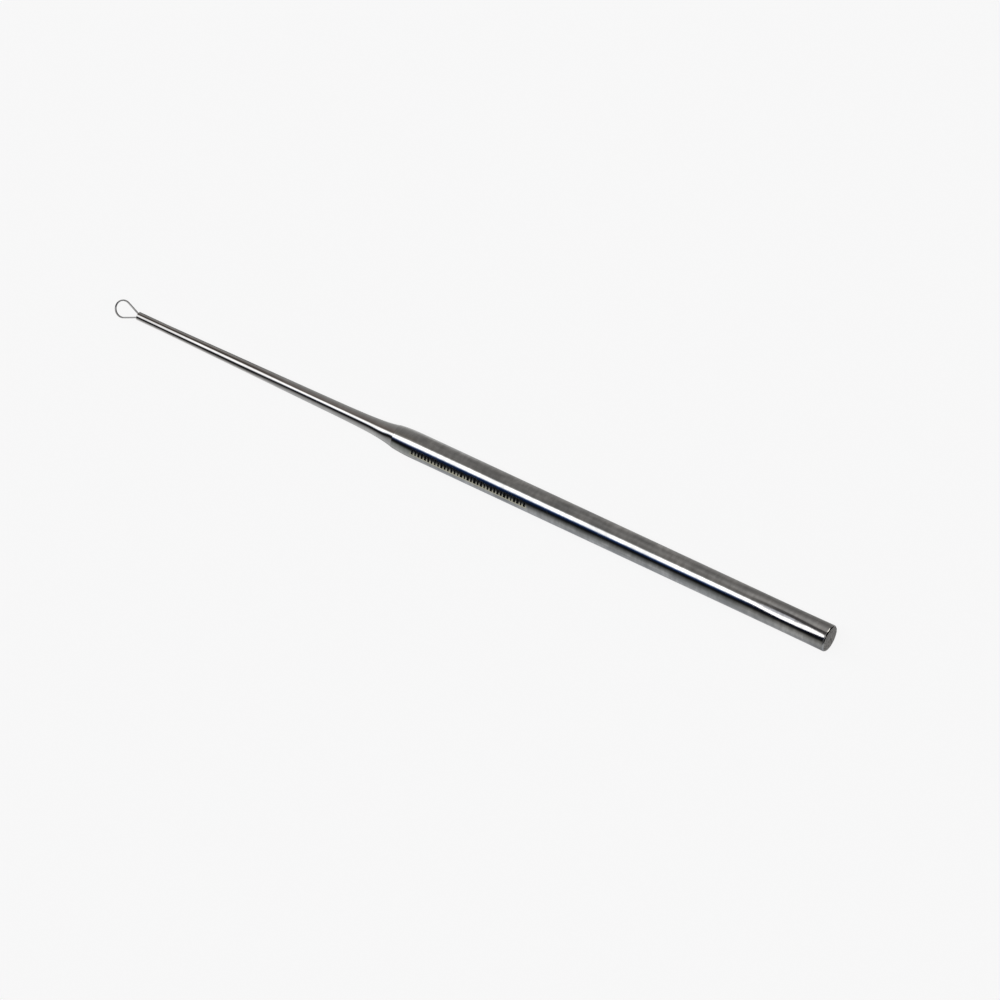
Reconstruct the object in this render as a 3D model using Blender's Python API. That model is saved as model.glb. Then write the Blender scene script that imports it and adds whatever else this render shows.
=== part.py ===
"""Ear wax removal loop: a steel handle and stem with a loop of flattened wire soldered into the tip.

The origin is the centre of the handle's flat butt face. +X runs along the tool to the loop, the loop
lies in the XY plane, and +Z is square to it. Sizes are in metres.
"""

from math import asin, atan2, cos, exp, hypot, pi, radians, sin, tan

import bmesh
import bpy
from mathutils import Matrix, Vector

MM = 0.001

# Handle
HANDLE_L = 98.2 * MM            # butt face to the crease where the shaft's collar meets the nose
HANDLE_D = 5.36 * MM
BUTT_D = 5.48 * MM              # the handle swells a little towards the butt
SWELL_L = 13.0 * MM             # stretch over which it does
BUTT_CHAMFER = 0.2 * MM         # edge break on the butt's rim, at 45 degrees
NOSE_L = 4.5 * MM               # stretch over which the handle curves in towards the collar
COLLAR_D = 4.82 * MM            # diameter of nose and collar at the crease

# Shaft
SHAFT_L = 61.3 * MM             # crease to the flat face of the tip
FLARE_DECAY = 3.45 * MM         # the collar's flare falls to 1/e of its height over this length
STEM_ROOT_D = 3.1 * MM         # the taper's diameter, carried back to the crease
STEM_TIP_D = 1.73 * MM
TIP_STRAIGHT_L = 6.5 * MM       # the stem's last stretch, which has no taper
TIP_EDGE = 0.04 * MM            # edge break round the tip's face
TANG_D = 3.0 * MM
TANG_L = 12.0 * MM
TANG_CHAMFER = 0.35 * MM
TIP_HOLE_D = 1.2 * MM
TIP_HOLE_DEPTH = 3.6 * MM
DRILL_POINT = radians(118.0)    # full angle at the bottom of both drilled holes

# Wire loop
WIRE_T = 0.28 * MM              # thickness of the flattened wire, in the loop's plane
WIRE_W = 0.45 * MM              # its width, along Z
LOOP_L = 5.5 * MM               # tip face to the loop's far end, outside the wire
LOOP_W = 3.76 * MM              # across the loop's round head, outside the wire
LEG_PITCH = 0.68 * MM           # between the two legs' centre lines in the tip
LEG_DEPTH = 3.2 * MM            # how far the legs reach into the tip
LEG_BEND_R = 0.9 * MM           # where each leg bends from the tip's direction to the teardrop

# Solder
SOLDER_DEPTH = 3.0 * MM         # how far down the hole the solder has run
SOLDER_CROWN = 0.1 * MM         # how far it stands proud of the tip's face

# Clearances between pieces that touch on the real tool
COLLAR_GAP = 0.02 * MM          # handle's nose to shaft's collar, face to face
TANG_GAP = 0.03 * MM            # tang in its bore, on the radius
TANG_END_GAP = 0.5 * MM         # tang's end to the start of the bore's drill point
SOLDER_GAP = 0.02 * MM          # solder to the hole's wall and to the legs

# Fineness of the round forms
TURNED_SIDES = 28
SWELL_STEPS = 5
NOSE_STEPS = 8
ARC_STEP = radians(9.0)
FLARE_STEPS = 14
TAPER_STEPS = 6
WIRE_END_STEPS = 5


def clear_scene():
    for obj in list(bpy.data.objects):
        bpy.data.objects.remove(obj)


def metal(name, color, roughness):
    material = bpy.data.materials.new(name)
    material.use_nodes = True
    shader = material.node_tree.nodes["Principled BSDF"]
    shader.inputs["Base Color"].default_value = (*color, 1.0)
    shader.inputs["Metallic"].default_value = 1.0
    shader.inputs["Roughness"].default_value = roughness
    material.diffuse_color = (*color, 1.0)
    return material


def add_object(name, bm, material):
    """A smooth-shaded object from a bmesh, sharp where the surface turns by more than 25 degrees."""
    bmesh.ops.recalc_face_normals(bm, faces=bm.faces)
    mesh = bpy.data.meshes.new(name)
    bm.to_mesh(mesh)
    bm.free()
    mesh.shade_smooth()
    mesh.set_sharp_from_angle(angle=radians(25.0))
    mesh.materials.append(material)
    obj = bpy.data.objects.new(name, mesh)
    bpy.context.scene.collection.objects.link(obj)
    return obj


def arc(center, radius, start, end, step=ARC_STEP):
    """Points of an arc from one angle to another, both ends included."""
    count = max(2, round(abs(end - start) / step))
    turns = [start + (end - start) * i / count for i in range(count + 1)]
    return [(center[0] + radius * cos(a), center[1] + radius * sin(a)) for a in turns]


def turned(name, outline, material):
    """A solid of revolution about X, from (x, radius) points that start and end on the axis."""
    bm = bmesh.new()
    # Half a facet of turn puts a flat side down, as well as one up. The radius is that of the flats.
    first_angle = Matrix.Rotation(pi / TURNED_SIDES, 3, "X")
    corner = 1.0 / cos(pi / TURNED_SIDES)
    points = [bm.verts.new(first_angle @ Vector((x, 0.0, r * corner))) for x, r in outline]
    edges = [bm.edges.new(pair) for pair in zip(points, points[1:])]
    bmesh.ops.spin(
        bm,
        geom=points + edges,
        cent=(0.0, 0.0, 0.0),
        axis=(1.0, 0.0, 0.0),
        angle=2 * pi,
        steps=TURNED_SIDES,
        use_merge=True,
    )
    bmesh.ops.remove_doubles(bm, verts=bm.verts, dist=1e-7)
    return add_object(name, bm, material)


def drill_point(radius):
    return radius / tan(DRILL_POINT / 2)


def swelled(x):
    """The handle's radius at x metres from the butt, where it swells."""
    return HANDLE_D / 2 + (BUTT_D - HANDLE_D) / 2 * (1.0 - x / SWELL_L) ** 2


def handle(material):
    radius = HANDLE_D / 2
    nose_drop = radius - COLLAR_D / 2
    nose_radius = (NOSE_L**2 + nose_drop**2) / (2 * nose_drop)
    nose_turn = asin(NOSE_L / nose_radius)
    bore_radius = TANG_D / 2 + TANG_GAP
    bore_end = HANDLE_L - TANG_L - TANG_END_GAP
    chamfer_top = swelled(BUTT_CHAMFER)
    swell_step = (SWELL_L - BUTT_CHAMFER) / SWELL_STEPS
    swell = [BUTT_CHAMFER + swell_step * i for i in range(SWELL_STEPS + 1)]
    butt = [(0.0, 0.0), (0.0, chamfer_top - BUTT_CHAMFER), *[(x, swelled(x)) for x in swell]]
    nose_center = (HANDLE_L - NOSE_L, radius - nose_radius)
    nose = arc(nose_center, nose_radius, pi / 2, pi / 2 - nose_turn, nose_turn / NOSE_STEPS)
    bore = [
        (HANDLE_L, bore_radius),
        (bore_end, bore_radius),
        (bore_end - drill_point(bore_radius), 0.0),
    ]
    return turned("handle", [*butt, *nose, *bore], material)


def stem_radius(x):
    """The stem's radius at x metres past the crease: the straight taper, and the flare on top of it."""
    taper_l = SHAFT_L - TIP_STRAIGHT_L
    share = min(x / taper_l, 1.0)
    taper = STEM_ROOT_D / 2 + (STEM_TIP_D - STEM_ROOT_D) / 2 * share
    return taper + (COLLAR_D - STEM_ROOT_D) / 2 * exp(-x / FLARE_DECAY)


def shaft(material):
    collar = HANDLE_L + COLLAR_GAP
    tip = HANDLE_L + SHAFT_L
    tang_end = HANDLE_L - TANG_L
    tang_radius = TANG_D / 2
    tang = [
        (tang_end, 0.0),
        (tang_end, tang_radius - TANG_CHAMFER),
        (tang_end + TANG_CHAMFER, tang_radius),
        (collar, tang_radius),
    ]
    # Past four decay lengths the flare is gone, and only the taper is left.
    flare_l = 4 * FLARE_DECAY
    flare = [flare_l * (i / FLARE_STEPS) ** 1.5 for i in range(FLARE_STEPS + 1)]
    taper_l = SHAFT_L - TIP_STRAIGHT_L - flare_l
    taper = [flare_l + taper_l * i / TAPER_STEPS for i in range(1, TAPER_STEPS + 1)]
    stem = [(collar + x, stem_radius(x)) for x in flare + taper]
    tip_radius = stem_radius(SHAFT_L)
    hole_radius = TIP_HOLE_D / 2
    hole_end = tip - TIP_HOLE_DEPTH
    tip_end = [
        (tip - TIP_EDGE, tip_radius),
        (tip, tip_radius - TIP_EDGE),
        (tip, hole_radius),
        (hole_end, hole_radius),
        (hole_end - drill_point(hole_radius), 0.0),
    ]
    return turned("shaft", [*tang, *stem, *tip_end], material)


def wire_path():
    """Centre line of the whole wire in the XY plane, from one leg's end round to the other's."""
    tip = HANDLE_L + SHAFT_L
    leg_y = LEG_PITCH / 2
    head_radius = (LOOP_W - WIRE_T) / 2
    head_x = LOOP_L - WIRE_T / 2 - head_radius
    # A leg leaves the tip at this angle to be tangent to the round head.
    splay = asin(head_radius / hypot(head_x, leg_y)) - atan2(leg_y, head_x)
    bend = arc((0.0, leg_y + LEG_BEND_R), LEG_BEND_R, -pi / 2, splay - pi / 2)
    # The bend is placed so that the straight runs before and after it would meet at the tip's face.
    bend_back = LEG_BEND_R * tan(splay / 2)
    bend = [(x - bend_back, y) for x, y in bend]
    half_head = arc((head_x, 0.0), head_radius, splay + pi / 2, 0.0)
    head = [*half_head, *[(x, -y) for x, y in reversed(half_head[:-1])]]
    leg = [(-LEG_DEPTH, leg_y), *bend]
    other_leg = [(x, -y) for x, y in reversed(leg)]
    return [Vector((tip + x, y, 0.0)) for x, y in [*leg, *head, *other_leg]]


def wire_section(grown=0.0):
    """The flattened wire's section: two flats joined by half rounds, grown outwards if asked."""
    radius = WIRE_T / 2 + grown
    flat = (WIRE_W - WIRE_T) / 2
    top = arc((0.0, flat), radius, 0.0, pi, pi / WIRE_END_STEPS)
    bottom = arc((0.0, -flat), radius, pi, 2 * pi, pi / WIRE_END_STEPS)
    return [*top, *bottom]


def swept(path, section):
    """A bmesh of the section carried along a path in the XY plane, with flat ends."""
    bm = bmesh.new()
    rings = []
    for i, point in enumerate(path):
        before = (point - path[max(i - 1, 0)]).normalized()
        after = (path[min(i + 1, len(path) - 1)] - point).normalized()
        along = (before + after).normalized()
        across = Vector((0.0, 0.0, 1.0)).cross(along)
        # At a corner the section is stretched so that the wire keeps its thickness.
        stretch = 1.0 / max(along.dot(before), along.dot(after))
        rings.append([bm.verts.new(point + across * a * stretch + Vector((0, 0, b))) for a, b in section])
    for ring, following in zip(rings, rings[1:]):
        corners = zip(ring, ring[1:] + ring[:1], following[1:] + following[:1], following)
        for quad in corners:
            bm.faces.new(quad)
    bm.faces.new(rings[0])
    bm.faces.new(rings[-1])
    return bm


def wire_loop(material):
    return add_object("wire_loop", swept(wire_path(), wire_section()), material)


def tip_solder(material):
    tip = HANDLE_L + SHAFT_L
    radius = TIP_HOLE_D / 2 - SOLDER_GAP
    crown_radius = (radius**2 + SOLDER_CROWN**2) / (2 * SOLDER_CROWN)
    crown_turn = asin(radius / crown_radius)
    crown_center = (tip + SOLDER_CROWN - crown_radius, 0.0)
    crown = arc(crown_center, crown_radius, crown_turn, 0.0, crown_turn / 5)
    plug = turned("tip_solder", [(tip - SOLDER_DEPTH, 0.0), (tip - SOLDER_DEPTH, radius), *crown], material)
    leg_space = add_object("leg_space", swept(wire_path(), wire_section(SOLDER_GAP)), material)
    leg_space.hide_render = True
    leg_space.display_type = "WIRE"
    cut = plug.modifiers.new("legs", "BOOLEAN")
    cut.object = leg_space
    cut.solver = "EXACT"
    return plug


clear_scene()
polished_steel = metal("polished_steel", (0.56, 0.55, 0.54), 0.12)
stem_steel = metal("stem_steel", (0.58, 0.57, 0.56), 0.1)
spring_wire = metal("spring_wire", (0.66, 0.66, 0.66), 0.15)
solder = metal("solder", (0.6, 0.6, 0.58), 0.38)
handle(polished_steel)
shaft(stem_steel)
wire_loop(spring_wire)
tip_solder(solder)
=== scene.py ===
from math import asin, atan2, cos, exp, hypot, pi, radians, sin, tan

import bmesh
import bpy
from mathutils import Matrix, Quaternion, Vector


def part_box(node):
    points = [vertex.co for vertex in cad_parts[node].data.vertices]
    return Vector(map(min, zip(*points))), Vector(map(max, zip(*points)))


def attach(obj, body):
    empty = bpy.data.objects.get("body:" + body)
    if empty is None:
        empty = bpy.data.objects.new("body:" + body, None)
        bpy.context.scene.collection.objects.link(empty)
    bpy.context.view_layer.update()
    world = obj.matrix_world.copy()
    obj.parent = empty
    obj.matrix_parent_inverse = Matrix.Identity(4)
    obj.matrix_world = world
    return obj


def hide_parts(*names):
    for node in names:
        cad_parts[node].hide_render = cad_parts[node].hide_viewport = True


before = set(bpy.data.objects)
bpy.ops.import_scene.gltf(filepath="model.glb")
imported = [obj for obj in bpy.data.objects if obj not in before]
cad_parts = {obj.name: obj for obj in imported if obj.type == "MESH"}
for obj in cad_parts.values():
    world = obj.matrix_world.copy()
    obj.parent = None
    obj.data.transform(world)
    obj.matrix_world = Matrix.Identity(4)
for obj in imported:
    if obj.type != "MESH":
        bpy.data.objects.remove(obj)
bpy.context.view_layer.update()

mm = 0.001
print("frame loaded:", ", ".join(sorted(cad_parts)))


# ---- camera, at the photograph's angle
cameraSetup = {
    "location": (-0.3767, -0.3188, 1.1543),
    "target": (0.07332, 0.00280, 0.0),
    "roll": -103.325,  # degrees about the lens axis
    "lens": 236.2,
    "sensor": 36.0,
}


def addCamera():
    data = bpy.data.cameras.new("camera")
    data.lens = cameraSetup["lens"]
    data.sensor_width = cameraSetup["sensor"]
    data.clip_start, data.clip_end = 0.05, 20.0
    camera = bpy.data.objects.new("camera", data)
    bpy.context.scene.collection.objects.link(camera)
    place = Vector(cameraSetup["location"])
    look = (Vector(cameraSetup["target"]) - place).to_track_quat("-Z", "Y")
    camera.rotation_mode = "QUATERNION"
    camera.location = place
    camera.rotation_quaternion = look @ Quaternion((0.0, 0.0, 1.0), radians(cameraSetup["roll"]))
    bpy.context.scene.camera = camera


addCamera()
bpy.context.scene.view_settings.view_transform = "Standard"
print("camera set")


# ---- node helpers
def feed(tree, socket, value):
    if isinstance(value, bpy.types.NodeSocket):
        tree.links.new(value, socket)
    else:
        socket.default_value = value


def addNode(tree, kind, inputs=None, **settings):
    node = tree.nodes.new("ShaderNode" + kind)
    for name, value in settings.items():
        setattr(node, name, value)
    for name, value in (inputs or {}).items():
        feed(tree, node.inputs[name], value)
    return node


def mathNode(tree, operation, *values):
    node = addNode(tree, "Math", operation=operation)
    for i, value in enumerate(values):
        feed(tree, node.inputs[i], value)
    return node.outputs[0]


def product(tree, first, *others):
    for value in others:
        first = mathNode(tree, "MULTIPLY", first, value)
    return first


def stepNode(tree, value, start, end, low=0.0, high=1.0):
    node = addNode(
        tree,
        "MapRange",
        {"Value": value, "From Min": start, "From Max": end, "To Min": low, "To Max": high},
        interpolation_type="SMOOTHSTEP",
    )
    return node.outputs["Result"]


def turnStep(tree, turn, start, end, low=0.0, high=1.0):
    return stepNode(tree, turn, radians(start), radians(end), low, high)


def alongStep(tree, along, start, end):
    return stepNode(tree, along, start * mm, end * mm)


def mixColor(tree, share, first, second, blend="MIX"):
    node = addNode(tree, "Mix", data_type="RGBA", blend_type=blend)
    feed(tree, node.inputs[0], share)
    for socket, color in zip(node.inputs[6:8], (first, second)):
        feed(tree, socket, (*color, 1.0) if isinstance(color, tuple) else color)
    return node.outputs[2]


def mixValue(tree, share, first, second):
    node = addNode(tree, "Mix", data_type="FLOAT")
    feed(tree, node.inputs[0], share)
    for socket, value in zip(node.inputs[2:4], (first, second)):
        feed(tree, socket, value)
    return node.outputs[0]


# ---- mesh helpers
def spinRound(bm, profile, sides):
    bmesh.ops.spin(
        bm,
        geom=profile,
        cent=(0, 0, 0),
        axis=(1, 0, 0),
        angle=2 * pi,
        steps=sides,
        use_merge=True,
    )


def roundOff(bm, geom, offset, segments, affect="EDGES"):
    bmesh.ops.bevel(
        bm,
        geom=geom,
        offset=offset,
        segments=segments,
        profile=0.5,
        affect=affect,
        material=-1,
    )


# ---- studio: one long softbox over the tool, a dark flag beside it, pale walls and a pale floor
# a light of 1 is white paper, and the softbox is brighter
studio = {
    "paper": (0.931, 0.931, 0.931),   # what the camera sees behind the tool
    "floorGlow": (0.9766, 0.9747, 0.9744),
    "floorMatte": (0.9, 0.9, 0.9),
    "floorLit": 0.10,                 # how much of the floor's tone comes from real light
    "floorSize": 3.0,
    "strength": 2.0,
    # angle about the tool's axis, from straight up towards +Y, and the light from there
    "bands": [
        (-180, (0.40, 0.40, 0.40)),
        (-140, (0.325, 0.32, 0.315)),
        (-104, (0.222, 0.217, 0.212)),
        (-75, (0.31, 0.305, 0.30)),
        (-42, (0.215, 0.21, 0.205)),
        (-33, (0.44, 0.45, 0.45)),
        (-26, (2.3, 2.3, 2.3)),
        (-10, (2.3, 2.3, 2.3)),
        (-2.5, (1.5, 1.6, 1.75)),
        (3, (0.11, 0.19, 0.42)),
        (10, (0.010, 0.028, 0.095)),
        (20, (0.006, 0.008, 0.012)),
        (31, (0.017, 0.017, 0.017)),
        (50, (0.20, 0.208, 0.207)),
        (76, (0.43, 0.445, 0.457)),
        (105, (0.455, 0.476, 0.503)),
        (140, (0.45, 0.46, 0.48)),
        (180, (0.345, 0.345, 0.345)),
    ],
    # further along, which the nose, the flare and the stem mirror
    "farBands": [
        (-180, (0.34, 0.34, 0.34)),
        (-140, (0.38, 0.38, 0.375)),
        (-108, (0.285, 0.28, 0.275)),
        (-84, (0.24, 0.226, 0.218)),
        (-56, (0.195, 0.172, 0.162)),
        (-43, (0.14, 0.118, 0.108)),
        (-32, (0.45, 0.43, 0.41)),
        (-25, (1.75, 1.75, 1.75)),
        (-9, (1.75, 1.75, 1.75)),
        (-3, (1.4, 1.46, 1.54)),
        (4, (0.21, 0.24, 0.32)),
        (9, (0.022, 0.024, 0.032)),
        (22, (0.006, 0.006, 0.007)),
        (31, (0.018, 0.018, 0.018)),
        (37, (0.075, 0.072, 0.072)),
        (48, (0.24, 0.235, 0.235)),
        (64, (0.42, 0.425, 0.425)),
        (92, (0.55, 0.56, 0.565)),
        (125, (0.60, 0.605, 0.61)),
        (180, (0.33, 0.33, 0.33)),
    ],
    # an "Along" is a span of the light's direction, 0 square to the tool and 1 along it to the
    # loop, and a "Turn" a span of degrees about the tool
    "farAlong": (0.372, 0.392),       # where the far bands take over
    "belowTurn": (-20.0, -5.0),       # from the softbox down
    "leanAlong": (0.58, 0.70),
    "flagLean": radians(9.5),         # the softbox's lower edge leans this far
    "swayAlong": (0.45, 0.55),
    "flareSway": radians(-2.5),       # all bands turn this far where the flare mirrors them
    "sagAlong": (0.46, 0.55),
    "flareSag": radians(-4.5),        # and those below the softbox this much more
    "lowTurn": (10.0, 28.0),
    "dropAlong": (0.335, 0.352),
    "flagDrop": radians(9.0),         # the flag reaches further down along the handle
    "edgeTurn": (-12.0, -4.0),
    "edgeAlong": (0.348, 0.360),
    "edgeDrop": radians(2.2),         # and the softbox's lower edge a little
    # the walls that the front of the handle mirrors
    "frontAlong": (0.352, 0.362, 0.368, 0.378),
    "frontTurn": (-125.0, -160.0),
    "frontAbove": (0.54, 0.545, 0.55),
    "duskAlong": (0.338, 0.352, 0.366, 0.376),
    "duskTurn": (-112.0, -85.0, -62.0, -48.0),
    "duskShare": 0.6,
    "frontDusk": (0.20, 0.195, 0.19),
}


def lit(light):
    return tuple(c / studio["strength"] for c in light)


def bandRamp(tree, place, bands):
    node = addNode(tree, "ValToRGB", {"Fac": place})
    stops = node.color_ramp.elements
    stops[0].position, stops[1].position = 0.0, 1.0
    for angle, light in bands[1:-1]:
        stops.new((angle + 180) / 360)
    for stop, (angle, light) in zip(stops, bands):
        stop.color = (*lit(light), 1.0)
    return node.outputs["Color"]


def aroundTool(tree, angle):
    node = addNode(tree, "MapRange", {"Value": angle, "From Min": -pi, "From Max": pi})
    return node.outputs["Result"]


def pulse(tree, value, start, full, hold, end):
    return product(tree, stepNode(tree, value, start, full), stepNode(tree, value, end, hold))


def between(tree, angle, *degrees):
    return pulse(tree, angle, *[radians(d) for d in degrees])


def handleTurn(tree, turn, along):
    low = turnStep(tree, turn, *studio["lowTurn"], 0.0, studio["flagDrop"])
    edge = turnStep(tree, turn, *studio["edgeTurn"], 0.0, studio["edgeDrop"])
    low = product(tree, stepNode(tree, along, *studio["dropAlong"]), low)
    edge = product(tree, stepNode(tree, along, *studio["edgeAlong"]), edge)
    return mathNode(tree, "SUBTRACT", mathNode(tree, "SUBTRACT", turn, low), edge)


def stemTurn(tree, turn, along):
    below = turnStep(tree, turn, *studio["belowTurn"])
    lean = stepNode(tree, along, *studio["leanAlong"], 0.0, studio["flagLean"])
    sway = stepNode(tree, along, *studio["swayAlong"], 0.0, studio["flareSway"])
    sag = stepNode(tree, along, *studio["sagAlong"], 0.0, studio["flareSag"])
    for shift in (product(tree, lean, below), sway, product(tree, sag, below)):
        turn = mathNode(tree, "ADD", turn, shift)
    return turn


def addWorld():
    world = bpy.data.worlds.new("studio")
    bpy.context.scene.world = world
    world.use_nodes = True
    tree = world.node_tree
    tree.nodes.clear()
    direction = addNode(tree, "TexCoord").outputs["Generated"]
    parts = addNode(tree, "SeparateXYZ", {0: direction})
    turn = mathNode(tree, "ARCTAN2", parts.outputs["Y"], parts.outputs["Z"])
    along = parts.outputs["X"]
    near = bandRamp(tree, aroundTool(tree, handleTurn(tree, turn, along)), studio["bands"])
    far = bandRamp(tree, aroundTool(tree, stemTurn(tree, turn, along)), studio["farBands"])
    light = mixColor(tree, stepNode(tree, along, *studio["farAlong"]), near, far)
    front = pulse(tree, along, *studio["frontAlong"])
    above = product(tree, front, turnStep(tree, turn, *studio["frontTurn"]))
    light = mixColor(tree, above, light, lit(studio["frontAbove"]))
    dusk = between(tree, turn, *studio["duskTurn"])
    dusk = product(tree, pulse(tree, along, *studio["duskAlong"]), dusk, studio["duskShare"])
    light = mixColor(tree, dusk, light, lit(studio["frontDusk"]))
    room = addNode(tree, "Background", {"Color": light, "Strength": studio["strength"]})
    paper = addNode(tree, "Background", {"Color": (*studio["paper"], 1.0)})
    seen = addNode(tree, "LightPath").outputs["Is Camera Ray"]
    mix = addNode(tree, "MixShader", {0: seen, 1: room.outputs[0], 2: paper.outputs[0]})
    addNode(tree, "OutputWorld", {"Surface": mix.outputs[0]})


def addFloor():
    bm = bmesh.new()
    bmesh.ops.create_grid(bm, x_segments=1, y_segments=1, size=studio["floorSize"])
    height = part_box("handle")[0].z - 0.01 * mm
    bmesh.ops.translate(bm, verts=bm.verts, vec=(0.08, 0.0, height))
    mesh = bpy.data.meshes.new("floor")
    bm.to_mesh(mesh)
    bm.free()
    floor = bpy.data.objects.new("floor", mesh)
    bpy.context.scene.collection.objects.link(floor)
    material = bpy.data.materials.new("studioPaper")
    material.use_nodes = True
    tree = material.node_tree
    tree.nodes.clear()
    glow = addNode(tree, "Emission", {"Color": (*studio["floorGlow"], 1.0)})
    matte = addNode(tree, "BsdfDiffuse", {"Color": (*studio["floorMatte"], 1.0)})
    share = studio["floorLit"]
    mix = addNode(tree, "MixShader", {0: share, 1: glow.outputs[0], 2: matte.outputs[0]})
    addNode(tree, "OutputMaterial", {"Surface": mix.outputs[0]})
    mesh.materials.append(material)
    floor.visible_glossy = False  # the tool mirrors the studio's lower half instead
    floor.visible_diffuse = False


# ---- curved cards close round the tool, seen only in the steel
sideCards = {
    # round the nose: the softbox and the flag both reach further down there
    "nose_card": {
        "radius": 20.0 * mm,
        "shown": (98.2, 100.8, 110.2, 111.6),  # mm along: it fades in, stays, and fades out
        "leans": [(1.0, 109.0, 101.0)],  # degrees, and where along the card it sets in
        "bands": [
            (-180, (0.66, 0.66, 0.665)),
            (-158, (0.59, 0.59, 0.59)),
            (-140, (0.44, 0.44, 0.44)),
            (-120, (0.31, 0.31, 0.305)),
            (-104, (0.255, 0.25, 0.247)),
            (-75, (0.205, 0.20, 0.195)),
            (-43, (0.178, 0.168, 0.156)),
            (-31, (0.36, 0.35, 0.34)),
            (-23, (1.9, 1.9, 1.9)),
            (-6, (1.9, 1.9, 1.9)),
            (0.5, (1.25, 1.35, 1.5)),
            (6.5, (0.13, 0.18, 0.36)),
            (13, (0.014, 0.022, 0.06)),
            (24, (0.006, 0.007, 0.010)),
            (34, (0.010, 0.010, 0.010)),
            (41, (0.05, 0.053, 0.05)),
            (53, (0.24, 0.255, 0.243)),
            (73, (0.335, 0.355, 0.345)),
            (104, (0.50, 0.515, 0.515)),
            (126, (0.395, 0.405, 0.405)),
            (150, (0.26, 0.265, 0.27)),
            (180, (0.30, 0.30, 0.30)),
        ],
    },
    # round the thin end of the stem: a wider softbox and a lower flag
    "tip_card": {
        "radius": 30.0 * mm,
        "shown": (132.0, 148.0, 180.0, 190.0),
        "dimmed": [(1.27, 157.0, 168.0)],  # the most light, and where along the card it sets in
        "bands": [
            (-180, (0.10, 0.10, 0.10)),
            (-140, (0.235, 0.235, 0.235)),
            (-108, (0.34, 0.33, 0.32)),
            (-84, (0.20, 0.183, 0.173)),
            (-60, (0.070, 0.055, 0.048)),
            (-50, (0.06, 0.045, 0.040)),
            (-42, (0.14, 0.12, 0.105)),
            (-34, (0.86, 0.85, 0.84)),
            (-26, (1.64, 1.64, 1.64)),
            (-3, (1.64, 1.64, 1.64)),
            (5, (1.04, 1.06, 1.12)),
            (13, (0.20, 0.205, 0.23)),
            (19, (0.018, 0.018, 0.022)),
            (40, (0.006, 0.006, 0.006)),
            (50, (0.04, 0.039, 0.038)),
            (68, (0.24, 0.235, 0.23)),
            (90, (0.50, 0.495, 0.49)),
            (120, (0.82, 0.82, 0.82)),
            (180, (0.48, 0.48, 0.48)),
        ],
    },
}
# round the butt end, where the softbox ends
endCard = {
    "radius": 100.0 * mm,
    "shift": 32.2 * mm,  # how much further along the tool's mirrored light meets the card
    "shown": (-7.0, -6.0, 10.0, 28.0),
    "endShade": 0.70,    # the lower wall darkens this much towards the butt face
    "shadeAlong": (3.5, -0.5),
    "shadeTurn": (0.4, 1.0),  # in radians
    "walls": [
        (-180, (0.33, 0.33, 0.33)),
        (-158, (0.295, 0.295, 0.29)),
        (-140, (0.275, 0.27, 0.265)),
        (-118, (0.228, 0.22, 0.213)),
        (-98, (0.315, 0.303, 0.295)),
        (-80, (0.47, 0.46, 0.45)),
        (-50, (0.42, 0.41, 0.40)),
        (-8, (0.010, 0.012, 0.022)),
        (22, (0.007, 0.008, 0.011)),
        (31, (0.028, 0.028, 0.025)),
        (48, (0.25, 0.25, 0.24)),
        (76, (0.47, 0.48, 0.48)),
        (104, (0.395, 0.41, 0.43)),
        (128, (0.43, 0.435, 0.445)),
        (152, (0.40, 0.40, 0.405)),
        (180, (0.34, 0.34, 0.345)),
    ],
    # where each edge lies (degrees of turn) and how it bends: by how much, from and to which mm
    # along; a "Soft" is the span of degrees past an edge in which the light changes
    "gapEdge": -43.0,
    "gapBends": [(-12, 1, 9), (8, 12, 17)],
    "gapSoft": (-14.0, -4.0),
    "gapAlong": (6.0, 18.0),
    "hazeSoft": (11.0, 22.0),
    "hazeAlong": (4.0, 8.0),
    "boxEdge": -18.0,
    "boxBends": [(7, 1, -0.4), (-8.5, 0, 4), (10, 4.5, 7.5), (-8, 12, 17), (-5, 18, 26)],
    "boxSoft": (-9.0, 6.0),
    "lowEdge": -5.5,
    "lowBends": [(13, -1, 6.5), (-11, 9.5, 16.5)],
    "lowSoft": (-3.0, 2.5),
    "flagSoft": (2.0, 8.0),
    "rimAlong": (-3.0, -5.5),
    "gap": (0.085, 0.080, 0.082),   # the dark gap over the softbox's edge
    "gapFar": (0.20, 0.195, 0.19),  # and where it meets the long walls
    "haze": (0.71, 0.73, 0.79),     # the softbox's dimmer rim
    "box": (2.3, 2.3, 2.3),
    "blueEdge": (0.022, 0.040, 0.13),
}


# close round the butt, for its narrow chamfer alone: an "Along" or "Across" is a span of the
# direction from the butt's centre
rimCard = {
    "radius": 12.0 * mm,
    "lampTurn": (-94.0, -82.0, -56.0, -46.0),
    "lampAlong": (-0.30, -0.22, -0.02, 0.06),
    "lampLight": (4.2, 4.1, 3.8),    # a small lamp
    "shadeTurn": (-42.0, -30.0, 35.0, 55.0),
    "shadeAlong": (-0.6, -0.4, 0.18, 0.26),
    "shade": (0.10, 0.10, 0.105),    # past the softbox's end
    "behindAlong": (-0.50, -0.66),
    "asideAlong": (-0.24, -0.32),
    "asideAcross": (-0.28, -0.36),
    "openTurn": (75.0, 40.0),        # and this side of it stays open
    "blank": (0.006, 0.006, 0.006),  # the unlit room behind the butt
}


def bentEdge(tree, along, start, *bends):
    edge = start
    for amount, x0, x1 in bends:
        step = alongStep(tree, along, x0, x1)
        edge = mathNode(tree, "MULTIPLY_ADD", step, radians(amount), edge)
    return edge


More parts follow.
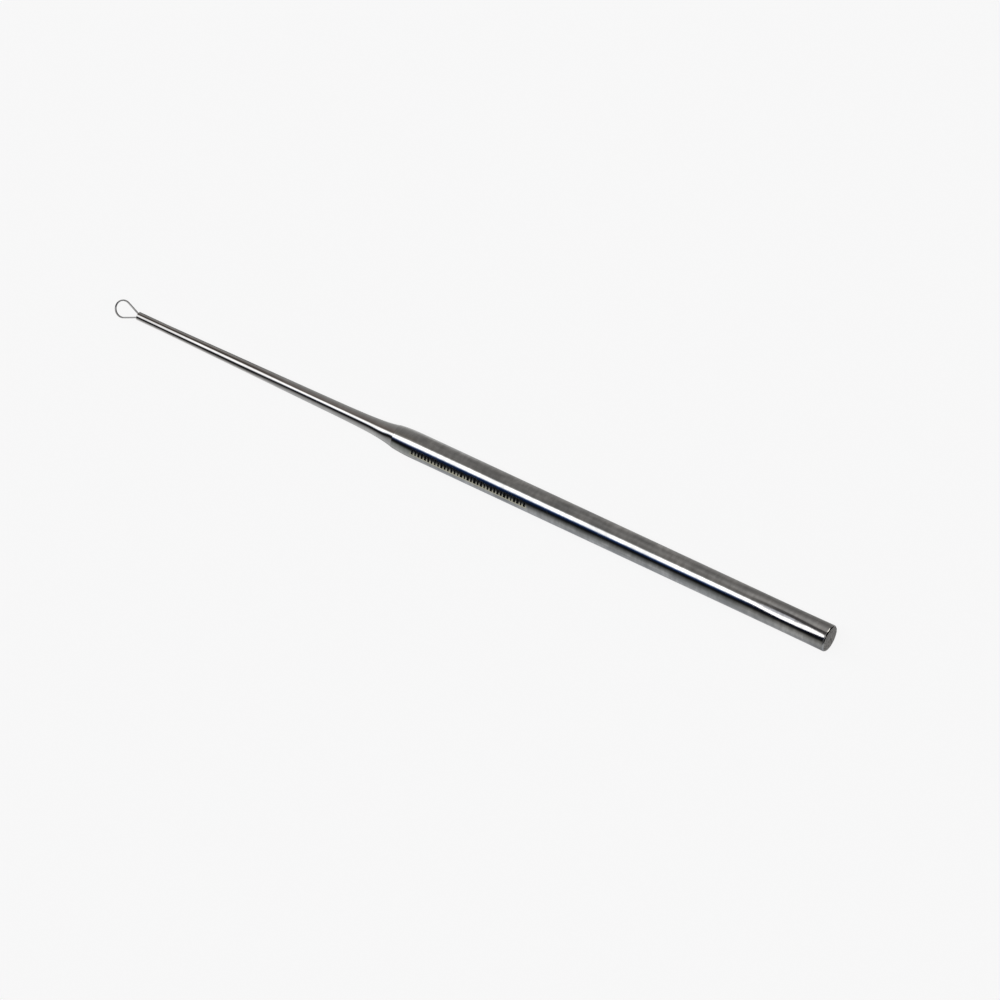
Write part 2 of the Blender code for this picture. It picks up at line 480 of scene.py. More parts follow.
def paintSide(tree, card, turn, along):
    turn = bentEdge(tree, along, turn, *card.get("leans", []))
    light = bandRamp(tree, aroundTool(tree, turn), card["bands"])
    for most, x0, x1 in card.get("dimmed", []):
        light = mixColor(tree, alongStep(tree, along, x0, x1), light, lit([most] * 3), "DARKEN")
    return light


def paintEnd(tree, c, turn, along):
    def past(edge, start, end):
        return turnStep(tree, mathNode(tree, "SUBTRACT", turn, edge), start, end)

    gapEdge = bentEdge(tree, along, radians(c["gapEdge"]), *c["gapBends"])
    boxEdge = bentEdge(tree, along, radians(c["boxEdge"]), *c["boxBends"])
    lowEdge = bentEdge(tree, along, radians(c["lowEdge"]), *c["lowBends"])
    walls = bandRamp(tree, aroundTool(tree, turn), c["walls"])
    shade = alongStep(tree, along, *c["shadeAlong"])
    shade = product(tree, shade, stepNode(tree, turn, *c["shadeTurn"]))
    shade = stepNode(tree, shade, 0.0, 1.0, 1.0, c["endShade"])
    walls = mixColor(tree, 1.0, walls, shade, "MULTIPLY")
    gap = mixColor(tree, alongStep(tree, along, *c["gapAlong"]), lit(c["gap"]), lit(c["gapFar"]))
    haze = product(tree, alongStep(tree, along, *c["hazeAlong"]), past(gapEdge, *c["hazeSoft"]))
    light = mixColor(tree, past(gapEdge, *c["gapSoft"]), walls, gap)
    light = mixColor(tree, haze, light, lit(c["haze"]))
    light = mixColor(tree, past(boxEdge, *c["boxSoft"]), light, lit(c["box"]))
    light = mixColor(tree, past(lowEdge, *c["lowSoft"]), light, lit(c["blueEdge"]))
    light = mixColor(tree, past(lowEdge, *c["flagSoft"]), light, walls)
    rim = between(tree, turn, *rimCard["shadeTurn"])
    rim = product(tree, alongStep(tree, along, *c["rimAlong"]), rim)
    return mixColor(tree, rim, light, lit(rimCard["shade"]))


def startCard(name):
    material = bpy.data.materials.new(name + "_glow")
    material.use_nodes = True
    tree = material.node_tree
    tree.nodes.clear()
    return material, tree, addNode(tree, "TexCoord").outputs["Object"]


def finishCard(name, bm, material, shown, light):
    tree = material.node_tree
    glow = addNode(tree, "Emission", {"Color": light, "Strength": studio["strength"]})
    clear = addNode(tree, "BsdfTransparent")
    mix = addNode(tree, "MixShader", {0: shown, 1: clear.outputs[0], 2: glow.outputs[0]})
    addNode(tree, "OutputMaterial", {"Surface": mix.outputs[0]})
    mesh = bpy.data.meshes.new(name)
    bm.to_mesh(mesh)
    bm.free()
    mesh.materials.append(material)
    card = bpy.data.objects.new(name, mesh)
    bpy.context.scene.collection.objects.link(card)
    for way in ("camera", "diffuse", "transmission", "shadow"):
        setattr(card, "visible_" + way, False)


def addCard(name, card, paint):
    shift = card.get("shift", 0.0)
    shown = [x * mm for x in card["shown"]]
    bm = bmesh.new()
    verts = [bm.verts.new((x + shift, 0.0, -card["radius"])) for x in (shown[0], shown[3])]
    spinRound(bm, verts + [bm.edges.new(verts)], 64)
    material, tree, place = startCard(name)
    parts = addNode(tree, "SeparateXYZ", {0: place})
    turn = mathNode(tree, "ARCTAN2", parts.outputs["Y"], parts.outputs["Z"])
    along = mathNode(tree, "SUBTRACT", parts.outputs["X"], shift)
    finishCard(name, bm, material, pulse(tree, along, *shown), paint(tree, card, turn, along))


def addRimCard(c):
    bm = bmesh.new()
    bmesh.ops.create_uvsphere(bm, u_segments=64, v_segments=32, radius=c["radius"])
    material, tree, place = startCard("rim_card")
    direction = addNode(tree, "VectorMath", {0: place}, operation="NORMALIZE")
    parts = addNode(tree, "SeparateXYZ", {0: direction.outputs[0]})
    turn = mathNode(tree, "ARCTAN2", parts.outputs["Y"], parts.outputs["Z"])
    along, across = parts.outputs["X"], parts.outputs["Y"]
    behind = stepNode(tree, along, *c["behindAlong"])
    aside = stepNode(tree, along, *c["asideAlong"])
    aside = product(tree, aside, stepNode(tree, across, *c["asideAcross"]))
    blank = mathNode(tree, "MAXIMUM", behind, aside)
    blank = product(tree, blank, turnStep(tree, turn, *c["openTurn"]))
    shade = between(tree, turn, *c["shadeTurn"])
    shade = product(tree, pulse(tree, along, *c["shadeAlong"]), shade)
    lamp = between(tree, turn, *c["lampTurn"])
    lamp = product(tree, lamp, pulse(tree, along, *c["lampAlong"]))
    shown = mathNode(tree, "MAXIMUM", mathNode(tree, "MAXIMUM", blank, shade), lamp)
    light = mixColor(tree, blank, lit(c["shade"]), lit(c["blank"]))
    light = mixColor(tree, lamp, light, lit(c["lampLight"]))
    finishCard("rim_card", bm, material, shown, light)


addWorld()
addFloor()
addRimCard(rimCard)
addCard("end_card", endCard, paintEnd)
for name, card in sideCards.items():
    addCard(name, card, paintSide)
print("studio and floor ready")


# ---- shared finishes
def newGroup(name, inputs, outputs):
    group = bpy.data.node_groups.new(name, "ShaderNodeTree")
    for label, kind, value in inputs:
        socket = group.interface.new_socket(
            name=label, in_out="INPUT", socket_type="NodeSocket" + kind
        )
        if value is not None:
            socket.default_value = value
    for label in outputs:
        group.interface.new_socket(name=label, in_out="OUTPUT", socket_type="NodeSocketFloat")
    given = group.nodes.new("NodeGroupInput").outputs
    return group, given, group.nodes.new("NodeGroupOutput").inputs


def placeGroup(tree, group, **inputs):
    node = tree.nodes.new("ShaderNodeGroup")
    node.node_tree = group
    for name, value in inputs.items():
        feed(tree, node.inputs[name], value)
    return node.outputs


def makeGrain():
    group, given, out = newGroup(
        "polishGrain",
        [
            ("Vector", "Vector", None),
            ("Along", "Float", 20.0),
            ("Across", "Float", 3000.0),
            ("Detail", "Float", 3.0),
        ],
        ["Grain"],
    )
    along, across = given["Along"], given["Across"]
    scale = addNode(group, "CombineXYZ", {"X": along, "Y": across, "Z": across}).outputs[0]
    stretched = addNode(group, "VectorMath", {0: given["Vector"], 1: scale}, operation="MULTIPLY")
    noise = addNode(
        group,
        "TexNoise",
        {
            "Vector": stretched.outputs[0],
            "Scale": 1.0,
            "Detail": given["Detail"],
            "Roughness": 0.55,
        },
    )
    group.links.new(stepNode(group, noise.outputs["Fac"], 0.25, 0.75), out["Grain"])
    return group


def makeSmudge():
    group, given, out = newGroup(
        "handlingSmudge",
        [("Vector", "Vector", None), ("Scale", "Float", 120.0), ("Cover", "Float", 0.5)],
        ["Smudge"],
    )
    noise = addNode(
        group,
        "TexNoise",
        {
            "Vector": given["Vector"],
            "Scale": given["Scale"],
            "Detail": 5.0,
            "Roughness": 0.62,
            "Distortion": 0.6,
        },
    )
    edge = mathNode(group, "SUBTRACT", 1.0, given["Cover"])
    reach = mathNode(group, "ADD", edge, 0.22)
    group.links.new(stepNode(group, noise.outputs["Fac"], edge, reach), out["Smudge"])
    return group


def makeHairlines():
    group, given, out = newGroup(
        "hairlineScratches",
        [
            ("Vector", "Vector", None),
            ("Scale", "Float", 900.0),
            ("Tilt", "Float", 0.3),
            ("Cover", "Float", 0.5),
        ],
        ["Scratch"],
    )
    turned = addNode(
        group,
        "VectorRotate",
        {"Vector": given["Vector"], "Axis": (0.0, 0.4, 1.0), "Angle": given["Tilt"]},
        rotation_type="AXIS_ANGLE",
    )
    shrunk = addNode(
        group, "VectorMath", {0: turned.outputs[0], 1: (0.035, 1.0, 1.0)}, operation="MULTIPLY"
    )
    wisps = {"Vector": shrunk.outputs[0], "Scale": given["Scale"], "Detail": 0.0}
    line = addNode(group, "TexNoise", wisps)
    off = mathNode(group, "ABSOLUTE", mathNode(group, "SUBTRACT", line.outputs["Fac"], 0.5))
    patch = addNode(group, "TexNoise", {"Vector": given["Vector"], "Scale": 260.0, "Detail": 2.0})
    edge = mathNode(group, "SUBTRACT", 1.0, given["Cover"])
    shown = stepNode(group, patch.outputs["Fac"], edge, mathNode(group, "ADD", edge, 0.08))
    group.links.new(product(group, stepNode(group, off, 0.02, 0.0), shown), out["Scratch"])
    return group


def makeZone():
    group, given, out = newGroup(
        "zoneAlongTool",
        [("Vector", "Vector", None), ("Start", "Float", 0.0), ("End", "Float", 0.01)],
        ["Mask"],
    )
    parts = addNode(group, "SeparateXYZ", {0: given["Vector"]})
    group.links.new(stepNode(group, parts.outputs["X"], given["Start"], given["End"]), out["Mask"])
    return group


def makeRings():
    group, given, out = newGroup(
        "latheRings",
        [("Vector", "Vector", None), ("Pitch", "Float", 0.0001), ("Wander", "Float", 0.00004)],
        ["Ring"],
    )
    flat = addNode(
        group, "VectorMath", {0: given["Vector"], 1: (0.0, 1.0, 1.0)}, operation="MULTIPLY"
    ).outputs[0]
    radius = addNode(group, "VectorMath", {0: flat}, operation="LENGTH").outputs["Value"]
    noise = addNode(group, "TexNoise", {"Vector": flat, "Scale": 900.0, "Detail": 2.0})
    moved = mathNode(group, "MULTIPLY_ADD", noise.outputs["Fac"], given["Wander"], radius)
    turns = product(group, mathNode(group, "DIVIDE", moved, given["Pitch"]), 2 * pi)
    wave = mathNode(group, "MULTIPLY_ADD", mathNode(group, "SINE", turns), 0.5, 0.5)
    group.links.new(wave, out["Ring"])
    return group


markRow = {
    "start": 66.9 * mm,
    "pitch": 0.76 * mm,
    "count": 35,
    "thin": 0.15 * mm,        # half the width of a bar
    "thick": 0.31 * mm,
    "foot": radians(31.0),    # angle about the tool's axis, from straight up towards +Y
    "short": radians(21.0),
    "tall": radians(30.0),
    "fade": 0.03 * mm,        # how soft the bars' sides are
    "turnFade": 0.012,        # and their ends, in radians
    "raggedScale": 5200.0,
    "ragged": 0.08 * mm,      # how far the sides wander
    "raggedTurn": 0.05,
    "heatOut": 0.3 * mm,
    "heatIn": 0.1 * mm,
    "heatTurn": (-0.24, -0.12, 0.0, 0.15),
}


def makeMarkRow():
    group, given, out = newGroup("etchedMarkRow", [("Vector", "Vector", None)], ["Ink", "Heat"])
    m = markRow
    parts = addNode(group, "SeparateXYZ", {0: given["Vector"]})
    along = parts.outputs["X"]
    end = m["start"] + m["pitch"] * m["count"]
    angle = mathNode(group, "ARCTAN2", parts.outputs["Y"], parts.outputs["Z"])
    spots = {"Vector": given["Vector"], "Scale": m["raggedScale"], "Detail": 2.0}
    blot = addNode(group, "TexNoise", spots).outputs["Fac"]
    ragged = mathNode(group, "MULTIPLY_ADD", blot, m["ragged"], -m["ragged"] / 2)
    steps = mathNode(group, "DIVIDE", mathNode(group, "SUBTRACT", along, m["start"]), m["pitch"])
    number = mathNode(group, "FLOOR", steps)
    pick = addNode(group, "TexWhiteNoise", {"W": number}, noise_dimensions="1D").outputs
    share = mathNode(group, "SUBTRACT", steps, number)
    off = mathNode(group, "ABSOLUTE", mathNode(group, "SUBTRACT", share, 0.5))
    distance = mathNode(group, "MULTIPLY_ADD", off, m["pitch"], ragged)
    half = mixValue(group, pick["Value"], m["thin"], m["thick"])
    stroke = stepNode(group, mathNode(group, "SUBTRACT", distance, half), m["fade"], -m["fade"])
    lift = addNode(group, "SeparateColor", {0: pick["Color"]}).outputs["Green"]
    top = mathNode(group, "SUBTRACT", m["foot"], mixValue(group, lift, m["short"], m["tall"]))
    over = stepNode(group, mathNode(group, "SUBTRACT", angle, top), -m["turnFade"], m["turnFade"])
    dip = mathNode(group, "MULTIPLY_ADD", blot, m["raggedTurn"], m["foot"] - m["raggedTurn"] / 2)
    under = stepNode(group, mathNode(group, "SUBTRACT", angle, dip), m["turnFade"], -m["turnFade"])
    begun = mathNode(group, "GREATER_THAN", along, m["start"])
    ended = mathNode(group, "LESS_THAN", along, end)
    group.links.new(product(group, stroke, over, under, begun, ended), out["Ink"])
    # a straw tint along the row's foot
    begin = (m["start"] - m["heatOut"], m["start"] + m["heatIn"])
    finish = (end - m["heatIn"], end + m["heatOut"])
    beside = pulse(group, angle, *[m["foot"] + turn for turn in m["heatTurn"]])
    group.links.new(product(group, pulse(group, along, *begin, *finish), beside), out["Heat"])
    return group


grain = makeGrain()
smudge = makeSmudge()
hairlines = makeHairlines()
zone = makeZone()
rings = makeRings()
marks = makeMarkRow()
print("finishes ready")


def startMaterial(name):
    material = bpy.data.materials.new(name)
    material.use_nodes = True
    tree = material.node_tree
    shader = tree.nodes["Principled BSDF"]
    shader.inputs["Metallic"].default_value = 1.0
    return material, tree, shader, addNode(tree, "TexCoord").outputs["Object"]


def grainAt(tree, spot, along, across, detail):
    return placeGroup(tree, grain, Vector=spot, Along=along, Across=across, Detail=detail)["Grain"]


def hairlineAt(tree, spot, scale, tilt, cover):
    return placeGroup(tree, hairlines, Vector=spot, Scale=scale, Tilt=tilt, Cover=cover)["Scratch"]


def joinShader(tree, shader, color, rough, height, depth):
    tree.links.new(color, shader.inputs["Base Color"])
    tree.links.new(rough, shader.inputs["Roughness"])
    bump = addNode(tree, "Bump", {"Height": height, "Strength": 1.0, "Distance": depth})
    tree.links.new(bump.outputs["Normal"], shader.inputs["Normal"])


# ---- handle
handleSize = {
    "length": 98.2 * mm,
    "diameter": 5.36 * mm,
    "buttDiameter": 5.48 * mm,
    "swell": 13.0 * mm,
    "swellRings": 12,
    "chamfer": 0.2 * mm,
    "faceEdge": 0.02 * mm,
    "shoulder": 0.11 * mm,
    "pipDiameter": 0.5 * mm,
    "pipDepth": 0.09 * mm,
    "noseLength": 4.5 * mm,
    "noseRings": 16,
    "collarDiameter": 4.82 * mm,
    "boreDiameter": 3.06 * mm,
    "boreDepth": 12.5 * mm,
    "drillPoint": 118.0,
    "sides": 160,
}
barFinish = {
    "pale": (0.82, 0.806, 0.79),
    "deep": (0.68, 0.665, 0.65),
    "hatch": (0.35, 0.338, 0.322),
    "handled": (0.33, 0.335, 0.34),
    "rough": 0.035,
    "grainRough": 0.035,
    "hatchShare": (0.6, 0.3),    # along the bar, and on the nose, where they are fainter: a lighter tone painted for the nose's brighter reflection
    "handledShare": (0.75, 0.35),
    "handledRough": 0.02,
    "scratchRough": 0.10,
    "heatRough": 0.30,
    "inkRough": 0.6,
    "scratchHeight": -0.6,
    "inkHeight": -2.0,
    "depth": 0.0007 * mm,
    "ink": (0.012, 0.012, 0.013),
    "heat": (0.82, 0.78, 0.61),
}


def makeBarSteel():
    f = barFinish
    material, tree, shader, spot = startMaterial("polishedBarSteel")
    lengthwise = grainAt(tree, spot, along=16.0, across=2400.0, detail=4.0)
    around = grainAt(tree, spot, along=4200.0, across=110.0, detail=3.0)
    nose = placeGroup(tree, zone, Vector=spot, Start=91.5 * mm, End=95.5 * mm)["Mask"]
    lines = mixValue(tree, nose, lengthwise, around)
    hatch = grainAt(tree, spot, along=1200.0, across=420.0, detail=4.0)
    handled = grainAt(tree, spot, along=160.0, across=480.0, detail=3.0)
    scratch = hairlineAt(tree, spot, scale=1100.0, tilt=0.35, cover=0.5)
    etch = placeGroup(tree, marks, Vector=spot)
    color = mixColor(tree, lines, f["pale"], f["deep"])
    # the hatch and handling smudge are real marks along the bar; fainter on the nose, they paint
    # it lighter: painted light for its brighter reflection
    hatched = product(tree, hatch, mixValue(tree, nose, *f["hatchShare"]))
    color = mixColor(tree, hatched, color, f["hatch"])
    touched = product(tree, handled, mixValue(tree, nose, *f["handledShare"]))
    color = mixColor(tree, touched, color, f["handled"])
    color = mixColor(tree, etch["Heat"], color, f["heat"])
    color = mixColor(tree, etch["Ink"], color, f["ink"])
    rough = mathNode(tree, "MULTIPLY_ADD", lines, f["grainRough"], f["rough"])
    rough = mathNode(tree, "MULTIPLY_ADD", handled, f["handledRough"], rough)
    rough = mathNode(tree, "MULTIPLY_ADD", scratch, f["scratchRough"], rough)
    rough = mixValue(tree, etch["Heat"], rough, f["heatRough"])
    rough = mixValue(tree, etch["Ink"], rough, f["inkRough"])
    height = mathNode(tree, "MULTIPLY_ADD", scratch, f["scratchHeight"], lines)
    height = mathNode(tree, "MULTIPLY_ADD", etch["Ink"], f["inkHeight"], height)
    joinShader(tree, shader, color, rough, height, f["depth"])
    return material


buttFinish = {
    "pale": (0.485, 0.46, 0.425),
    "deep": (0.32, 0.305, 0.28),
    "pitted": (0.13, 0.123, 0.112),
    "ringShare": 0.7,
    "blotchShare": 0.4,
    "pitShare": 0.90,
    "pitSpan": (0.30, 0.86),
    "rough": 0.25,
    "ringRough": 0.08,
    "blotchRough": 0.10,
    "speckHeight": 0.5,
    "depth": 0.006 * mm,
}


def makeFacedSteel():
    f = buttFinish
    material, tree, shader, spot = startMaterial("facedEndSteel")
    ring = placeGroup(tree, rings, Vector=spot, Pitch=0.11 * mm, Wander=0.05 * mm)["Ring"]
    blotch = placeGroup(tree, smudge, Vector=spot, Scale=700.0, Cover=0.55)["Smudge"]
    speck = grainAt(tree, spot, along=2300.0, across=2300.0, detail=4.0)
    color = mixColor(tree, product(tree, ring, f["ringShare"]), f["pale"], f["deep"])
    color = mixColor(tree, product(tree, blotch, f["blotchShare"]), color, f["deep"])
    pits = stepNode(tree, speck, *f["pitSpan"], 0.0, f["pitShare"])
    color = mixColor(tree, pits, color, f["pitted"])
    rough = mathNode(tree, "MULTIPLY_ADD", ring, f["ringRough"], f["rough"])
    rough = mathNode(tree, "MULTIPLY_ADD", blotch, f["blotchRough"], rough)
    height = mathNode(tree, "MULTIPLY_ADD", speck, f["speckHeight"], ring)
    joinShader(tree, shader, color, rough, height, f["depth"])
    return material


def finishPiece(name, bm, materials, node, sharp=25.0):
    bmesh.ops.remove_doubles(bm, verts=bm.verts, dist=1e-7)
    bmesh.ops.recalc_face_normals(bm, faces=bm.faces)
    mesh = bpy.data.meshes.new(name)
    bm.to_mesh(mesh)
    bm.free()
    mesh.shade_smooth()
    mesh.set_sharp_from_angle(angle=radians(sharp))
    for material in materials:
        mesh.materials.append(material)
    piece = bpy.data.objects.new(name, mesh)
    bpy.context.scene.collection.objects.link(piece)
    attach(piece, "root")
    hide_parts(node)
    print(name, "made:", len(mesh.polygons), "faces")


def turnProfile(profile, sides):
    bm = bmesh.new()
    points = [bm.verts.new((x, 0.0, r)) for x, r in profile]
    edges = [bm.edges.new(pair) for pair in zip(points, points[1:])]
    spinRound(bm, points + edges, sides)
    bmesh.ops.remove_doubles(bm, verts=bm.verts, dist=1e-7)
    return bm


def ringEdges(bm, x, radius):
    def onRing(v):
        return abs(v.co.x - x) < 1e-7 and abs(hypot(v.co.y, v.co.z) - radius) < 1e-6

    return [edge for edge in bm.edges if all(onRing(v) for v in edge.verts)]


def makeHandle():
    s = handleSize
    radius = s["diameter"] / 2
    swell = (s["buttDiameter"] - s["diameter"]) / 2
    drop = radius - s["collarDiameter"] / 2
    noseRadius = (s["noseLength"] ** 2 + drop**2) / (2 * drop)
    noseStart = s["length"] - s["noseLength"]
    rim = radius + swell * (1 - s["chamfer"] / s["swell"]) ** 2
    profile = [(s["pipDepth"], 0.0), (0.0, s["pipDiameter"] / 2), (0.0, rim - s["chamfer"])]
    # the second ring stands close to the first, to keep the rim's shading short
    for share in [0.0, 0.02] + [i / s["swellRings"] for i in range(1, s["swellRings"] + 1)]:
        x = s["chamfer"] + (s["swell"] - s["chamfer"]) * share
        profile.append((x, radius + swell * (1 - x / s["swell"]) ** 2))
    profile.append((noseStart, radius))
    for i in range(1, s["noseRings"] + 1):
        x = s["noseLength"] * i / s["noseRings"]
        profile.append((noseStart + x, radius - noseRadius + (noseRadius**2 - x**2) ** 0.5))
    bore = s["boreDiameter"] / 2
    boreEnd = s["length"] - s["boreDepth"]
    point = bore / tan(radians(s["drillPoint"] / 2))
    profile += [(s["length"], bore), (boreEnd, bore), (boreEnd - point, 0.0)]
    bm = turnProfile(profile, s["sides"])
    rounded = [(0.0, rim - s["chamfer"], s["faceEdge"]), (s["chamfer"], rim, s["shoulder"])]
    for place, size, width in rounded:
        roundOff(bm, ringEdges(bm, place, size), width, 6)
    faced = rim - 1.05 * s["chamfer"]
    for face in bm.faces:
        middle = face.calc_center_median()
        onButt = middle.x < 0.1 * mm and hypot(middle.y, middle.z) < faced
        face.material_index = 1 if onButt else 0
    finishPiece("handle_bar", bm, [makeBarSteel(), makeFacedSteel()], "handle")


# ---- shaft
shaftSize = {
    "start": 98.22 * mm,
    "length": 61.3 * mm,
    "flareDecay": 3.45 * mm,
    "flareRings": 48,
    "taperRings": 12,
    "rootDiameter": 3.1 * mm,
    "tipDiameter": 1.73 * mm,
    "tipStraight": 6.5 * mm,
    "tipEdge": 0.04 * mm,
    "tangDiameter": 3.0 * mm,
    "tangLength": 12.0 * mm,
    "tangChamfer": 0.35 * mm,
    "holeDiameter": 1.2 * mm,
    "holeDepth": 3.6 * mm,
    "drillPoint": 118.0,
    "sides": 128,
}
stemFinish = {
    "pale": (0.78, 0.77, 0.76),
    "deep": (0.69, 0.68, 0.67),
    "hatch": (0.50, 0.49, 0.48),
    "handled": (0.48, 0.475, 0.47),
    "rough": 0.028,
    "grainRough": 0.035,
    "hatchShare": 0.5,
    "handledShare": 0.6,
    "handledRough": 0.02,
    "scratchRough": 0.10,
    "scratchHeight": -0.6,
    "depth": 0.0008 * mm,
}


def makeStemSteel():
    f = stemFinish
    material, tree, shader, spot = startMaterial("polishedStemSteel")
    lengthwise = grainAt(tree, spot, along=24.0, across=3200.0, detail=4.0)
    around = grainAt(tree, spot, along=4600.0, across=130.0, detail=3.0)
    plain = placeGroup(tree, zone, Vector=spot, Start=102.0 * mm, End=112.0 * mm)["Mask"]
    lines = mixValue(tree, plain, around, lengthwise)
    hatch = grainAt(tree, spot, along=1300.0, across=600.0, detail=4.0)
    handled = grainAt(tree, spot, along=190.0, across=700.0, detail=3.0)
    scratch = hairlineAt(tree, spot, scale=1400.0, tilt=-0.25, cover=0.48)
    color = mixColor(tree, lines, f["pale"], f["deep"])
    color = mixColor(tree, product(tree, hatch, f["hatchShare"]), color, f["hatch"])
    color = mixColor(tree, product(tree, handled, f["handledShare"]), color, f["handled"])
    rough = mathNode(tree, "MULTIPLY_ADD", lines, f["grainRough"], f["rough"])
    rough = mathNode(tree, "MULTIPLY_ADD", handled, f["handledRough"], rough)
    rough = mathNode(tree, "MULTIPLY_ADD", scratch, f["scratchRough"], rough)
    height = mathNode(tree, "MULTIPLY_ADD", scratch, f["scratchHeight"], lines)
    joinShader(tree, shader, color, rough, height, f["depth"])
    return material


def stemRadius(x):
    s = shaftSize
    share = min(x / (s["length"] - s["tipStraight"]), 1.0)
    taper = s["rootDiameter"] / 2 + (s["tipDiameter"] - s["rootDiameter"]) / 2 * share
    flare = (handleSize["collarDiameter"] - s["rootDiameter"]) / 2
    return taper + flare * exp(-x / s["flareDecay"])


def makeShaft():
    s = shaftSize
    collar = s["start"]
    tip = handleSize["length"] + s["length"]
    tangEnd = handleSize["length"] - s["tangLength"]
    tang = s["tangDiameter"] / 2
    chamfer = s["tangChamfer"]
    profile = [(tangEnd, 0.0), (tangEnd, tang - chamfer)]
    profile += [(tangEnd + chamfer, tang), (collar, tang)]
    flare = 5 * s["flareDecay"]
    straight = s["length"] - s["tipStraight"]
    many, few = s["flareRings"], s["taperRings"]
    steps = [flare * (i / many) ** 1.4 for i in range(many + 1)]  # closest where it curves most
    steps += [flare + (straight - flare) * i / few for i in range(1, few + 1)]
    profile += [(collar + x, stemRadius(x)) for x in steps]
    tipRadius = s["tipDiameter"] / 2
    hole = s["holeDiameter"] / 2
    holeEnd = tip - s["holeDepth"]
    point = hole / tan(radians(s["drillPoint"] / 2))
    profile += [(tip, tipRadius), (tip, hole), (holeEnd, hole), (holeEnd - point, 0.0)]
    bm = turnProfile(profile, s["sides"])
    roundOff(bm, ringEdges(bm, tip, tipRadius), s["tipEdge"], 4)
    finishPiece("shaft_stem", bm, [makeStemSteel()], "shaft")


# ---- wire loop
wireSize = {
    "thickness": 0.28 * mm,
    "width": 0.45 * mm,
    "corner": 0.46,  # of the thickness
    "length": 5.5 * mm,
    "across": 3.76 * mm,
    "legPitch": 0.68 * mm,
    "legDepth": 3.2 * mm,
    "legBend": 0.9 * mm,
    "bendSteps": 10,
    "headSteps": 72,
}
wireFinish = {
    "pale": (0.66, 0.66, 0.66),
    "deep": (0.52, 0.515, 0.51),
    "paintedHeadShade": (0.33, 0.325, 0.32),  # the head of the loop, darker: painted shade standing in for the dark reflection on its arc
    "rough": 0.08,
    "grainRough": 0.06,
    "touchRough": 0.05,
    "depth": 0.0012 * mm,
}


def makeWireSteel():
    f = wireFinish
    material, tree, shader, spot = startMaterial("drawnWireSteel")
    lines = grainAt(tree, spot, along=900.0, across=2600.0, detail=4.0)
    touched = placeGroup(tree, smudge, Vector=spot, Scale=420.0, Cover=0.5)["Smudge"]
    head = placeGroup(tree, zone, Vector=spot, Start=162.2 * mm, End=163.8 * mm)["Mask"]
    color = mixColor(tree, lines, f["pale"], f["deep"])
    # painted shade: the loop's head is darkened to stand in for the dark reflection there
    color = mixColor(tree, head, color, f["paintedHeadShade"])
    rough = mathNode(tree, "MULTIPLY_ADD", lines, f["grainRough"], f["rough"])
    rough = mathNode(tree, "MULTIPLY_ADD", touched, f["touchRough"], rough)
    joinShader(tree, shader, color, rough, lines, f["depth"])
    return material


def makeLoop():
    s = wireSize
    tip = handleSize["length"] + shaftSize["length"]
    legY = s["legPitch"] / 2
    headRadius = (s["across"] - s["thickness"]) / 2
    headX = s["length"] - s["thickness"] / 2 - headRadius
    splay = asin(headRadius / hypot(headX, legY)) - atan2(legY, headX)
    back = s["legBend"] * tan(splay / 2)
    bm = bmesh.new()
    bmesh.ops.create_grid(bm, x_segments=1, y_segments=1, size=0.5)
    bmesh.ops.scale(bm, verts=bm.verts, vec=(s["thickness"], s["width"], 1.0))
    roundOff(bm, list(bm.verts), s["corner"] * s["thickness"], 6, "VERTICES")
    for v in bm.verts:  # the section stands across the first leg, at its end deep in the tip
        v.co = Vector((tip - s["legDepth"], legY + v.co.x, v.co.y))
    ring = list(bm.edges)

    def run(ring, vec):
        made = bmesh.ops.extrude_edge_only(bm, edges=ring)["geom"]
        fresh = [g for g in made if isinstance(g, bmesh.types.BMVert)]
        bmesh.ops.translate(bm, verts=fresh, vec=vec)
        return [g for g in made if isinstance(g, bmesh.types.BMEdge)]

    def bend(ring, cent, angle, steps):
        geom = list(dict.fromkeys(v for e in ring for v in e.verts)) + ring
        made = bmesh.ops.spin(bm, geom=geom, cent=cent, axis=(0, 0, 1), angle=angle, steps=steps)
        return [g for g in made["geom_last"] if isinstance(g, bmesh.types.BMEdge)]

    legRun = (headX**2 + legY**2 - headRadius**2) ** 0.5 - back
    ring = run(ring, (s["legDepth"] - back, 0, 0))
    ring = bend(ring, (tip - back, legY + s["legBend"], 0), splay, s["bendSteps"])
    ring = run(ring, (legRun * cos(splay), legRun * sin(splay), 0))
    ring = bend(ring, (tip + headX, 0, 0), -(pi + 2 * splay), s["headSteps"])
    ring = run(ring, (-legRun * cos(splay), legRun * sin(splay), 0))
    ring = bend(ring, (tip - back, -legY - s["legBend"], 0), splay, s["bendSteps"])
    ring = run(ring, (-(s["legDepth"] - back), 0, 0))
    bmesh.ops.edgeloop_fill(bm, edges=ring)
    finishPiece("loop_wire", bm, [makeWireSteel()], "wire_loop", 35.0)


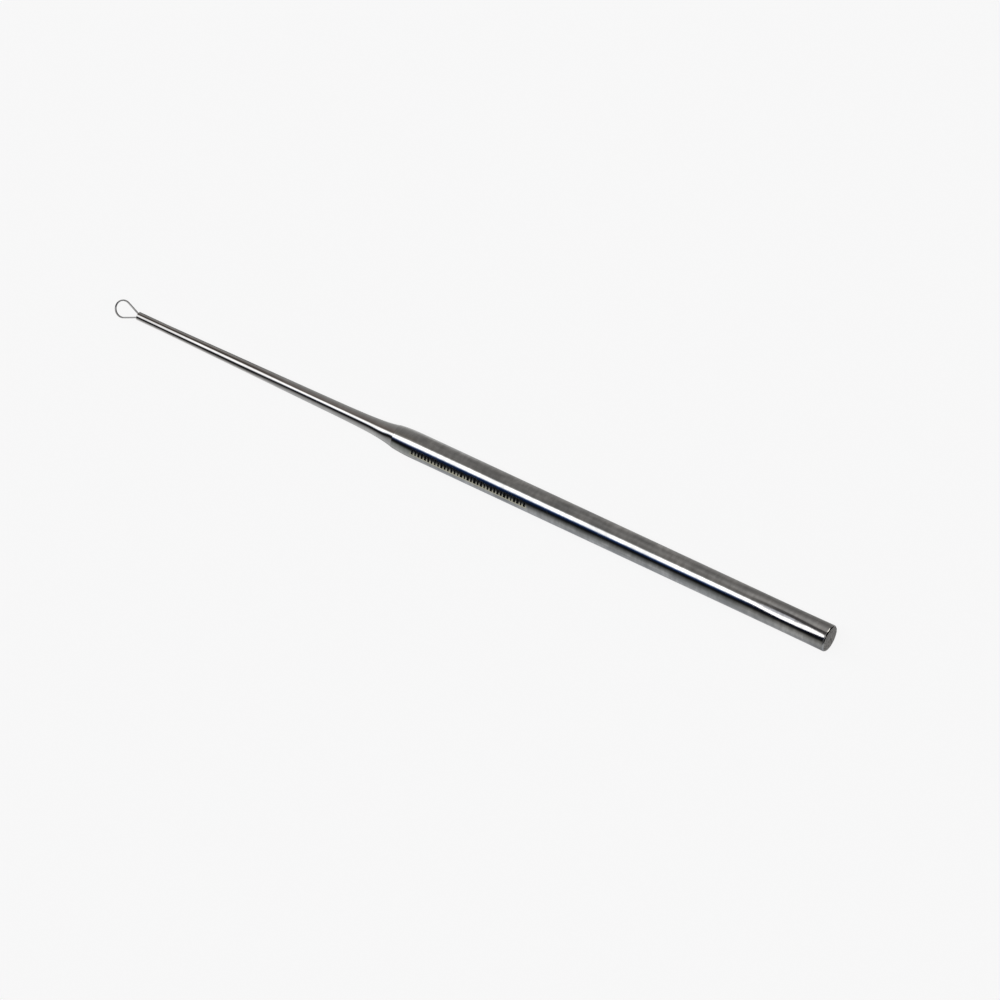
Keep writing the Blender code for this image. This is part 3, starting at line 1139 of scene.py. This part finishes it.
# ---- solder
solderSize = {
    "depth": 3.0 * mm,
    "crown": 0.1 * mm,
    "climb": 0.16 * mm,
    "climbReach": 0.07 * mm,
    "rings": 26,
    "sides": 96,
}
solderFinish = {
    "pale": (0.62, 0.615, 0.59),
    "deep": (0.42, 0.41, 0.38),
    "rough": 0.30,
    "lumpRough": 0.16,
    "speckHeight": 0.3,
    "depth": 0.006 * mm,
}


def makeSolderMetal():
    f = solderFinish
    material, tree, shader, spot = startMaterial("satinSolder")
    lump = placeGroup(tree, smudge, Vector=spot, Scale=2600.0, Cover=0.6)["Smudge"]
    speck = grainAt(tree, spot, along=9000.0, across=9000.0, detail=3.0)
    color = mixColor(tree, lump, f["pale"], f["deep"])
    rough = mathNode(tree, "MULTIPLY_ADD", lump, f["lumpRough"], f["rough"])
    height = mathNode(tree, "MULTIPLY_ADD", speck, f["speckHeight"], lump)
    joinShader(tree, shader, color, rough, height, f["depth"])
    return material


def makeSolder():
    s = solderSize
    tip = handleSize["length"] + shaftSize["length"]
    radius = shaftSize["holeDiameter"] / 2
    crownRadius = (radius**2 + s["crown"] ** 2) / (2 * s["crown"])
    profile = [(tip - s["depth"], 0.0), (tip - s["depth"], radius), (tip - 0.1 * mm, radius)]
    for i in range(s["rings"] + 1):
        r = radius * (1 - i / s["rings"])
        profile.append((tip + s["crown"] - crownRadius + (crownRadius**2 - r**2) ** 0.5, r))
    bm = turnProfile(profile, s["sides"])
    flat = (wireSize["width"] - wireSize["thickness"]) / 2
    for v in bm.verts:  # the solder climbs a little up each leg
        if v.co.x > tip - 0.05 * mm:
            away = hypot(abs(v.co.y) - wireSize["legPitch"] / 2, max(abs(v.co.z) - flat, 0.0))
            away = max(away - wireSize["thickness"] / 2, 0.0)
            inside = 1 - min(hypot(v.co.y, v.co.z) / radius, 1.0) ** 6
            v.co.x += s["climb"] * exp(-away / s["climbReach"]) * inside
    finishPiece("solder_fill", bm, [makeSolderMetal()], "tip_solder", 40.0)


makeHandle()
makeShaft()
makeLoop()
makeSolder()
